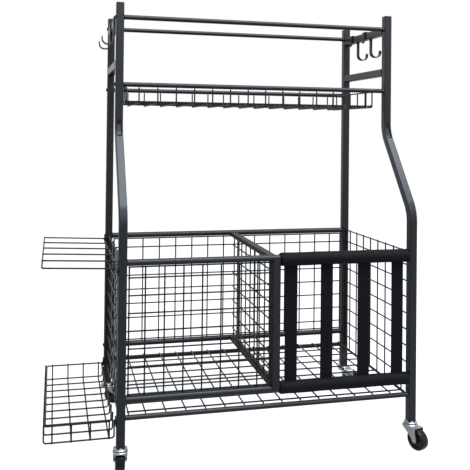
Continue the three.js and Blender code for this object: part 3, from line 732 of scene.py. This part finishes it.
# %% Panel helpers
LAYER = CROSSING / 2  # how far each layer of wires lies from the middle of the panel
TIP = 2.8  # from the last crossing wire's centre to a wire's end


def spread(first, pitch, count):
    return first + pitch * np.arange(count)


def centred(pitch, count):
    return spread(-pitch * (count - 1) / 2, pitch, count)


def tipped(places):
    return places[0] - TIP, places[-1] + TIP


def welded(columns, rows, column_span, row_span, across, up, start):
    """Wires along the panel's second direction at each column and along its first at each row. A point
    u across and v up lies at start + u across + v up, moved by a layer along across x up, or back."""
    out = np.cross(across, up) * LAYER
    upright = [[start + u * across + v * up + out for v in column_span] for u in columns]
    level = [[start + u * across + v * up - out for u in row_span] for v in rows]
    return [wire(ends, out) for ends in upright + level]


print("wires lie", LAYER, "mm off a panel's middle")

# %% Bin panels
EDGE = 371.0  # outer upright wires of the front and rear panels
BIN_LOW, BIN_HIGH = 188.3, 503.2
BIN_SPREAD = (214.6, 43.2, 7)  # first wire, pitch and count, as in each spread below
REAR_CENTRED = (51.3, 14)
FRONT_SPREAD = (-331.2, 47.8, 7)
DIVIDER_X = 4.5
BIN_ROWS = [BIN_LOW + TIP, *spread(*BIN_SPREAD), BIN_HIGH - TIP]

rear_columns = [-EDGE, *centred(*REAR_CENTRED), EDGE]
front_columns = [-EDGE, *spread(*FRONT_SPREAD), DIVIDER_X - FACE - TIP]
for node, columns, y in (("rear_panel", rear_columns, REAR), ("front_panel_left", front_columns, 0)):
    dress_wires(node, welded(columns, BIN_ROWS, (BIN_LOW, BIN_HIGH), tipped(columns), X, Z, y * Y))

# %% Side panels
SIDE_EDGE = 16.5  # from a post's centre to the first upright wire
SIDE_SPREAD = (52, 44.9, 8)
SIDE_ROW_SPREAD, SIDE_TOP_ROW = (128, 43.7, 9), 514.0
columns = [SIDE_EDGE, *spread(*SIDE_SPREAD), REAR - SIDE_EDGE]
rows = [*spread(*SIDE_ROW_SPREAD), SIDE_TOP_ROW]
for side, x in (("left", -SIDE), ("right", SIDE)):
    dress_wires("side_panel_" + side, welded(columns, rows, tipped(rows), (FACE, REAR - FACE), Y, Z, x * X))

# %% Floor grid
GRID_EDGE, GRID_OVERHANG = 368.5, 1.0
GRID_CENTRED, GRID_SPREAD = (50.3, 14), (20, 47.4, 9)
columns = [-GRID_EDGE, *centred(*GRID_CENTRED), GRID_EDGE]
rows, span = spread(*GRID_SPREAD), (-GRID_OVERHANG, REAR + GRID_OVERHANG)
grid_height = RAILS["floor_rail"][1] + THIN + GAP
dress_wires("floor_grid", welded(columns, rows, span, tipped(columns), X, Y, grid_height * Z))

# %% [markdown]
# ## Divider
# A post and two flat bars part the cart into two bins, with a wire panel between them. The post ends
# are cut to saddle the round rails, and the bars run back to the rear rails under a weld bead.

# %% Divider frame
BAR_HEIGHT, BAR_CORNER = 12.0, 2.2
BAR_DROP, BAR_SINK = 3.5, 1.0  # from a rail's height to its bar's, and into the post
SADDLE = THICK + GAP
bin_height, base_height = RAILS["bin_rail"][1], RAILS["base_rail"][1]


def saddled_post():
    """The divider's post, cut round the rails: an end ring's height is the rail's centre plus or
    minus sqrt(saddle radius^2 - y^2), where y is the way from the rail's centre."""
    x, y = rounded_box(POST, POST, CORNER, flats=9).T
    reach = np.sqrt(np.maximum(SADDLE**2 - y**2, 0))
    z = np.linspace(base_height + reach, bin_height - reach, 6)
    return skin(joined(DIVIDER_X + x, y, z))


def divider_bar(height):
    ends = (DIVIDER_X, POST / 2 - BAR_SINK, height), (DIVIDER_X, REAR - SADDLE, height)
    return flared(*ends, X, rounded_box(POST, BAR_HEIGHT, BAR_CORNER), DIVIDER_FLARE)


bars = [divider_bar(bin_height - BAR_DROP), divider_bar(base_height + BAR_DROP)]
dress("divider_frame", "tube", [saddled_post(), *bars], DIVIDER_COAT)

SCREW_SHARE = 0.75  # of the rails' bolt heads
SCREW_X, SCREW_Y = DIVIDER_X + 2.0, 0.9 - THICK
screw = moved(turned(np.array(DOME) * SCREW_SHARE, HEAD_SIDES), about(X, 90))
screws = [moved(screw, by=(SCREW_X, SCREW_Y, height)) for height in (bin_height, base_height)]
add_piece("divider_screw_heads", screws, BOLT_COAT)
print("divider from", base_height, "to", bin_height, "mm")

# %% Divider panel
DIVIDER_SPREAD = (49.3, 43.5, 8)
rear_column = REAR - 16.0  # the last upright wire
low = base_height + BAR_DROP + BAR_HEIGHT / 2 + GAP
high = bin_height - BAR_DROP - BAR_HEIGHT / 2 - GAP
columns, rows = [*spread(*DIVIDER_SPREAD), rear_column], [low + TIP, *BIN_ROWS[1:-1], high - TIP]
across = (FACE, rear_column + TIP)
dress_wires("divider_panel", welded(columns, rows, (low, high), across, Y, Z, DIVIDER_X * X))

# %% [markdown]
# ## Soft front of the right bin
# Two cloth sleeves with foam inside wrap the rails, and four flat elastic straps are sewn between
# them. Cloth simulation would be slow here and would erase the straps, so both are modelled directly:
# the sleeve is a tube whose radius changes with the straps' pull and with soft folds.

# %% Sleeves
# The upper foam hangs from its rail, and the straps pull the lower one up.
SLEEVES = {"upper": (bin_height - 4.3, 17.3), "lower": (base_height + 0.9, 16.3)}  # middle, radius
SLEEVE_START, SLEEVE_END = DIVIDER_X + FACE, INNER - GAP
STRAP_WIDTH = 34.0
STRAP_X = spread(DIVIDER_X + 42.5, 99.4, 4) + np.array([-0.6, -2.1, 2.4, 0.0])  # sewn by hand
FOLD, FOLD_LENGTH = 0.224, 23.0  # a slow wave's height and its length per radian
RIPPLE, RIPPLE_LENGTH, BEAT_LENGTH = 0.144, 9.0, 37.0  # a faster one, which comes and goes
PULL, PULL_ANGLE, PULL_LENGTH = 0.2, 0.5, 0.55 * STRAP_WIDTH  # the swelling at a strap
SEAM, SEAM_ANGLE = 0.5, 0.09  # the ridge's height and half width in radians
HEM, HEM_LENGTH = 2.2, 1.2  # how far the ends draw in
STITCH, STITCH_PLACE, STITCH_LENGTH = 0.35, 9.0, 1.4  # the stitched ring near each end
SLACK = 0.35


def hump(way, length, power=2):
    """1 where way is 0, falling off as exp(-(way / length)^power)."""
    return np.exp(-((way / length) ** power))


def turn_between(a, b):
    """The angle from b to a, between -pi and pi."""
    return np.angle(np.exp(1j * (a - b)))


def sleeve(centre, foam, pull_side):
    """Radius of the sleeve at place x and angle a round it: the foam's, plus a slow and a faster wave,
    plus a low swelling where each strap pulls, plus a ridge along the seam on top. The ends draw in
    past a low stitched ring."""
    x = np.linspace(SLEEVE_START, SLEEVE_END, 190)[:, None]
    a = (np.arange(48) * 2 * np.pi / 48)[None]
    fold = FOLD * np.sin(x / FOLD_LENGTH + 2 * np.sin(a))
    ripple = RIPPLE * np.sin(x / RIPPLE_LENGTH + 3 * a) * np.cos(x / BEAT_LENGTH)
    near = hump(x[..., None] - STRAP_X, PULL_LENGTH, 4).sum(-1)
    pull = PULL * near * hump(turn_between(a, pull_side), PULL_ANGLE)
    seam = SEAM * hump(turn_between(a, np.pi / 2), SEAM_ANGLE)
    depth = np.minimum(x - SLEEVE_START, SLEEVE_END - x)
    hem = STITCH * hump(depth - STITCH_PLACE, STITCH_LENGTH) - HEM * np.exp(-depth / HEM_LENGTH)
    radius = foam - SLACK + fold + ripple + pull + seam + hem
    uv = joined(x / MM, a * foam / MM).reshape(-1, 2)
    return skin(joined(x, radius * np.cos(a), radius * np.sin(a) + centre)), uv


for name, pull_side in (("upper", -np.pi / 2), ("lower", np.pi / 2)):
    tube, uv = sleeve(*SLEEVES[name], pull_side)
    padded = dress("sleeve_" + name, "cloth", [tube], SLEEVE_CLOTH, slot="padded_sleeve", soften=60, uv=uv)
print("sleeves from x", round(SLEEVE_START, 1), "to", round(SLEEVE_END, 1))

# %% Straps
STRAP_THICKNESS, STRAP_EDGE = 2.4, 0.9
STRAP_SINK = 0.4  # each end is stitched this far into the cloth
STRAP_TOP = SLEEVES["upper"][0] - SLEEVES["upper"][1] + STRAP_SINK
STRAP_BOTTOM = SLEEVES["lower"][0] + SLEEVES["lower"][1] - STRAP_SINK
BOW = 0.35
WAIST_SHARE = 0.012  # how much of its width the strap loses halfway
FLAT_SHARE, SEWN_SHARE = 0.82, 0.03  # thickness at the very end, and the length that is sewn


def strap(x):
    """A closed band: its half width narrows a little between the ends as stretched elastic does, and
    its middle line bows forward by a low arch. Long edges are rounded by the section."""
    across, through = rounded_box(STRAP_WIDTH, STRAP_THICKNESS, STRAP_EDGE, steps=3, flats=9).T
    z = np.linspace(STRAP_BOTTOM, STRAP_TOP, 60)[:, None]
    share = (z - STRAP_BOTTOM) / (STRAP_TOP - STRAP_BOTTOM)
    arch = np.sin(np.pi * share)
    full = np.clip(np.minimum(share, 1 - share) / SEWN_SHARE, 0, 1)
    wide = x + (1 - WAIST_SHARE * arch**0.5) * across
    thick = (FLAT_SHARE + (1 - FLAT_SHARE) * full) * through - BOW * arch
    return skin(joined(wide, thick, z)), joined(across / MM, z / MM).reshape(-1, 2)


for number, x in enumerate(STRAP_X, 1):
    ribbon, uv = strap(x)
    elastic = {"slot": "elastic_strap", "soften": 50, "uv": uv}
    band = dress("strap_%d" % number, "webbing", [ribbon], STRAP_WEBBING, **elastic)

# %% [markdown]
# ## Hanging tray
# The tray is a basket of bent wire under the two tray rails: U-shaped loops hang from the rails, and
# long wires lie in them and turn up at both ends, where a cross wire ties them together.

# %% Tray
WIRE_BEND = 6.0
TRAY_LEFT, TRAY_RIGHT = -368.0, 342.6
TRAY_DROP, TRAY_END_DROP = 44.5, 4.0  # below the tray rails
LOOP_SPREAD = (TRAY_LEFT + 33.8, 50.6, 14)
LONG_FIRST, LONG_SPREAD = UPPER + 7, (UPPER + 49, 48.9, 5)
tray_height = RAILS["tray_rail"][1]
tray_floor = tray_height - TRAY_DROP - CROSSING
tray_end = tray_height - TRAY_END_DROP
rail_face = THIN + GAP


def u_wire(along, across, place, ends, low, high):
    """A wire down from high at one end, along at low and up at the other, at a place across."""
    corners = [(ends[0], high), (ends[0], low), (ends[1], low), (ends[1], high)]
    path = [way * along + place * across + height * Z for way, height in corners]
    return wire(rounded_path(path, WIRE_BEND), across)


places = [TRAY_LEFT, *spread(*LOOP_SPREAD), TRAY_RIGHT]
tray = [u_wire(Y, X, x, (UPPER, REAR), tray_floor, tray_height - rail_face) for x in places]
outer_ends = (TRAY_LEFT - CROSSING, TRAY_RIGHT + CROSSING)
places = [LONG_FIRST, *spread(*LONG_SPREAD)]
tray += [u_wire(X, Y, y, outer_ends, tray_floor + CROSSING, tray_end) for y in places]
between_rails = (UPPER + rail_face, REAR - rail_face)
tray += [wire([(x, y, tray_end) for y in between_rails], X) for x in (TRAY_LEFT, TRAY_RIGHT)]
dress_wires("tray", tray)

# %% [markdown]
# ## Side rack and side basket
# Both are bolted to the left posts through small lugs. The rack is a flat shelf whose front edge
# dips as a lip. The basket is wire bent both ways, with a rim welded inside its legs.

# %% Rack
LUG, LUG_HEIGHT, LUG_CORNER, LUG_EDGE = 2.4, 20.0, 3.0, 0.25
LUG_EDGE_SHARE = 0.975  # of the outline, where the edge is eased
LUG_FACE = -(SIDE + FACE + LUG)


def lug(y, height):
    """A small plate with rounded corners that joins a wire's end to the post."""
    path = [(LUG_FACE + depth, y, height) for depth in (0, LUG_EDGE, LUG - LUG_EDGE, LUG)]
    outline = rounded_box(POST, LUG_HEIGHT, LUG_CORNER)
    return sweep(path, Y, outline, [LUG_EDGE_SHARE, 1, 1, LUG_EDGE_SHARE])


RACK_HEIGHT, RACK_REACH = 504.0, 177.0
RACK_RISE = 7.0  # how far the outer end stands higher
RACK_STANDOFF = 1.0
LIP_WAY, LIP_DROP, LIP_BEND = 46.0, 9.0, 10.0
ROD_SPREAD, ROD_END, ROD_SINK = (60.8, 84.3, 5), 1.5, 0.2
OUTER_START, OUTER_END = 4.0, 3.0
rods = spread(*ROD_SPREAD)
lip = rods[0] - LIP_WAY


def rack_side():
    """The wire along the posts: level along the shelf, then down to the lip and level again."""
    path = [(-POST / 2, -LIP_DROP), (lip, -LIP_DROP), (rods[0], 0), (REAR + POST / 2, 0)]
    return wire(rounded_path([(0, y, z - CROSSING) for y, z in path], LIP_BEND), X)


def rack_front():
    """The lip's rod, which turns a corner and climbs back to the shelf's outer wire."""
    low = -LIP_DROP - ROD_SINK
    ends = [(ROD_END, lip, low), (-RACK_REACH, lip, low), (-RACK_REACH, rods[0] + OUTER_START, -CROSSING)]
    out, back = np.subtract(ends[1], ends[0]), np.subtract(ends[2], ends[1])
    return wire(rounded_path(ends, WIRE_BEND), np.cross(out, back))


outer = [(-RACK_REACH, rods[0], -CROSSING), (-RACK_REACH, rods[-1] + OUTER_END, -CROSSING)]
shelf = [rack_side(), wire(outer, X), rack_front()]
shelf += [wire([(-RACK_REACH - ROD_END, y, -ROD_SINK), (ROD_END, y, -ROD_SINK)], Y) for y in rods]
tilt = about(Y, math.degrees(math.atan2(RACK_RISE, RACK_REACH)))
shelf = [moved(rod, tilt, (LUG_FACE - RACK_STANDOFF, 0, RACK_HEIGHT)) for rod in shelf]
shelf += [lug(0, RACK_HEIGHT - LIP_DROP - CROSSING), lug(REAR, RACK_HEIGHT - CROSSING)]
dress_wires("side_rack", shelf)

# %% Basket
BASKET_WIDTH = 167.0
BASKET_RIM, BASKET_FLOOR = 130.0, 89.0
BASKET_ROW_SPREAD = (5, 43.8, 10)
BASKET_SPREAD = (20, 45.1, 4)  # from the outer legs
basket_in = LUG_FACE - LAYER
basket_out = basket_in - BASKET_WIDTH
basket_rows = spread(*BASKET_ROW_SPREAD)
basket_y = basket_rows[0], basket_rows[-1]
leg_top = BASKET_RIM + TIP

# The rim is a rectangle of wire with rounded corners, drawn in from the legs by one wire
size = np.array([BASKET_WIDTH, basket_y[1] - basket_y[0]]) - 2 * CROSSING
u, v = rounded_box(*size, WIRE_BEND, steps=6).T
rim_path = joined(u + (basket_out + basket_in) / 2, v + sum(basket_y) / 2, BASKET_RIM)
rim = sweep(rim_path, Z, circle(WIRE, WIRE_SIDES), closed=True)

basket = [u_wire(X, Y, y, (basket_out, basket_in), BASKET_FLOOR, leg_top) for y in basket_rows]
places = basket_out + spread(*BASKET_SPREAD)
basket += [u_wire(Y, X, x, basket_y, BASKET_FLOOR - CROSSING, leg_top) for x in places]
basket += [rim, lug(0, BASKET_RIM), lug(REAR, BASKET_RIM)]
dress_wires("side_basket", basket)

# %% [markdown]
# ## Hooks
# A hook is one strip of steel bent five times: over the bar, down and round in a J. It can slide along
# the bar, so it rides on its own body. The strip has rounded edges and its tips are rounded in plan.

# %% Hooks
STRIP_WIDTH, STRIP, STRIP_EDGE = 15.0, 3.0, 0.9
HOOK_DROP, HOOK_REACH, HOOK_RISE = 51.0, 31.0, 22.0  # below the bar, out to the J's tip and up it
BACK_OUT, BACK_DOWN = 3.0, 8.0  # the short flap behind the bar
HOOK_BENDS = (3, 2, 2, 15, 15)
HOOK_TIP_SHARES = np.array([0.0, 0.1, 0.3, 0.6, 1.0])  # of each tip's length
FLAP_TIP, HOOK_TIP, HOOK_BLUNT = 3.0, 6.0, 0.04
HOOKS = {"left_front": (-1, 190), "left_rear": (-1, 300), "right_front": (1, 259), "right_rear": (1, 344)}


def hook(sign, y):
    """The strip's outline, in the bar's own axes, mirrored by sign so that the J hangs outside."""
    wrap, foot = FACE + STRIP / 2, -POST / 2 - STRIP
    low, out = -POST / 2 - HOOK_DROP - STRIP / 2, wrap + HOOK_REACH
    clip = [(-wrap - BACK_OUT, foot - BACK_DOWN), (-wrap, foot), (-wrap, wrap), (wrap, wrap)]
    outline = clip + [(wrap, low), (out, low), (out, low + HOOK_RISE)]
    path = rounded_path([(sign * x, 0, z) for x, z in outline], HOOK_BENDS, steps=8)
    path, width = with_tips(path, HOOK_TIP_SHARES, FLAP_TIP, HOOK_TIP, HOOK_BLUNT)
    sections = np.repeat(rounded_box(STRIP_WIDTH, STRIP, STRIP_EDGE, steps=3)[None], len(path), 0)
    sections[:, :, 0] *= width[:, None]
    return moved(sweep(path, Y, sections), by=(sign * SIDE, y, HOOK_BAR))


for name, place in HOOKS.items():
    dress("hook_" + name, "strip", [hook(*place)], HOOK_COAT, body="hook_" + name + "_body")
print("hooks:", list(HOOKS))

# %% [markdown]
# ## Casters
# A caster turns on a ball race: a pressed cup under the post, then a crowned disc that belongs to the
# fork. The fork is one sheet folded down on both sides, and its legs narrow to the axle. Each
# caster is drawn at the origin with its wheel trailing along +X, then turned and moved to its post.

# %% Cup, crown and fork
CUP = [  # radius and height, from the top of the cup round its rim and down the kingpin
    (0.01, 67.7), (10.4, 67.7), (11.0, 67.3), (12.0, 66.7), (14.6, 66.1), (16.2, 65.2), (17.0, 63.9),
    (17.0, 62.7), (16.5, 61.8), (15.6, 61.3), (4.0, 61.3), (4.0, 54.7), (6.6, 54.7), (7.0, 54.3),
    (7.0, 53.1), (6.2, 52.7), (0.01, 52.7),
]
CROWN = [  # the disc on the fork: a rounded skirt round the race, open in the middle for the kingpin
    (4.4, 61.0), (13.6, 61.0), (15.9, 60.8), (17.6, 60.1), (18.7, 58.9), (19.0, 57.6), (18.7, 56.6),
    (17.4, 55.6), (4.4, 55.6),
]
TRAIL, WHEEL_RADIUS = 24.0, 26.5
FORK_TOP, LEG_INNER, PLATE = 57.0, 13.3, 2.0
FOLD_BEND, BOSS, SPLAY = 3.5, 7.0, 2.2  # splay: how much further apart the legs stand under the fold
TOP_FRONT, TOP_REAR = -16.0, 27.0
BOSS_TRIM, AXLE_CLEAR, FOLD_CLEAR = 0.15, 1.5, 0.5  # keep neighbouring rings apart


def fork_sheet():
    """A folded sheet as a grid: up one leg, across the top and down the other leg, and from the front
    edge to the rear edge. Below the axle the edges close in on the boss as
    x = trail + or - sqrt(boss^2 - (z - axle)^2). A second grid, one plate thickness inside, closes it."""
    low, middle = WHEEL_RADIUS - BOSS + BOSS_TRIM, FORK_TOP - PLATE / 2
    leg = LEG_INNER + PLATE / 2
    corners = [(0, side * (leg + SPLAY), z) for side, z in ((-1, low), (-1, middle), (1, middle), (1, low))]
    top = rounded_path(corners, FOLD_BEND)[1:-1]
    rounding = low + (1 - np.cos(np.linspace(0, np.pi / 2, 9))) * BOSS
    straight = np.linspace(WHEEL_RADIUS + AXLE_CLEAR, middle - FOLD_BEND - FOLD_CLEAR, 12)
    z = np.concatenate([rounding, straight])
    climbed = np.clip((z - WHEEL_RADIUS) / (middle - FOLD_BEND - WHEEL_RADIUS), 0, 1)
    leg_down = np.column_stack([np.zeros(len(z)), -leg - SPLAY * climbed**1.5, z])
    path = np.concatenate([leg_down, top, leg_down[::-1] * [1, -1, 1]])
    normal = np.cross(X, unit(np.gradient(path, axis=0)))
    rise = np.clip((path[:, 2] - WHEEL_RADIUS) / (middle - WHEEL_RADIUS), 0, 1)
    drop = np.clip((WHEEL_RADIUS - path[:, 2]) / BOSS, 0, 0.998)
    half = BOSS * np.sqrt(1 - drop**2)
    front = TRAIL - half + rise**1.15 * (TOP_FRONT - TRAIL + BOSS)
    rear = TRAIL + half + rise * (TOP_REAR - TRAIL - BOSS)
    sheet = joined(np.linspace(front, rear, 13, axis=1), path[:, 1:2], path[:, 2:])
    shift = normal[:, None] * PLATE / 2
    return skin(np.concatenate([sheet + shift, (sheet - shift)[:, ::-1]], axis=1))


print("fork has", len(fork_sheet()[0]), "points")

# %% Wheel and axle
HALF_WHEEL = np.array([  # radius and way along the axle: hub, dished web, rim bead and crowned tread
    (3.4, 12.7), (7.2, 12.7), (7.9, 12.3), (8.2, 9.2), (9.2, 8.2), (17.2, 8.2), (18.4, 8.8), (19.2, 11.2),
    (20.0, 12.0), (22.6, 12.0), (24.2, 11.6), (25.6, 10.2), (26.2, 8.2), (26.45, 5.0), (WHEEL_RADIUS, 1.5),
])
WHEEL = np.concatenate([HALF_WHEEL, HALF_WHEEL[::-1] * [1, -1]])


def on_axle(profile, sides):
    """A profile turned about the axle, which lies along Y."""
    return moved(turned(profile, sides), about(X, 90), (TRAIL, 0, WHEEL_RADIUS))


NUT_RADIUS, NUT_RISES, NUT_SHARES = 5.0, (0.02, 0.4, 1.5, 1.9), [0.94, 1, 1, 0.9]


def axle():
    """A shaft with a domed rivet head on one side and a hex nut on the other."""
    outer = LEG_INNER + PLATE + GAP
    head = [(0.01, 2.0), (2.2, 1.9), (3.9, 1.2), (4.8, 0.1), (4.8, 0), (3.0, 0)]
    tail = [(3.0, 0), (2.99, 0.1), (2.6, 2.0), (0.01, 2.0)]
    profile = [(r, outer + rise) for r, rise in head] + [(r, -outer - rise) for r, rise in tail]
    nut_path = [(TRAIL, outer + rise, WHEEL_RADIUS) for rise in NUT_RISES]
    return [on_axle(profile, HEAD_SIDES), sweep(nut_path, X, circle(NUT_RADIUS, 6), NUT_SHARES)]


print("wheel is", 2 * WHEEL_RADIUS, "mm across")

# %% Casters in place
TURNS = {"front_left": 84, "front_right": -72, "rear_left": 28, "rear_right": -10}  # degrees

for name, x in POSTS.items():
    place = (x, 0.0 if name.startswith("front") else REAR, 0)
    bodies = turned(CUP, 48), turned(CROWN, 48), fork_sheet(), on_axle(WHEEL, 64), *axle()
    cup, ring, sheet, tread, *pin = [moved(body, about(Z, TURNS[name]), place) for body in bodies]
    zinc = {"slot": "zinc_steel", "body": "caster_" + name}
    dress("caster_stem_" + name, "cup", [cup], ZINC_RING, slot="zinc_steel")
    add_piece("caster_fork_" + name + "_crown", [ring], ZINC_RING, **zinc)
    dress("caster_fork_" + name, "sheet", [sheet], ZINC_SHEET, **zinc)
    add_piece("caster_axle_" + name + "_bolt", pin, ZINC_RING, "axle_" + name, **zinc)
    rubber = {"slot": "wheel_rubber", "body": "wheel_body_" + name}
    add_piece("caster_wheel_" + name + "_tread", [tread], TREAD_PLASTIC, "wheel_" + name, **rubber)
print("casters:", TURNS)
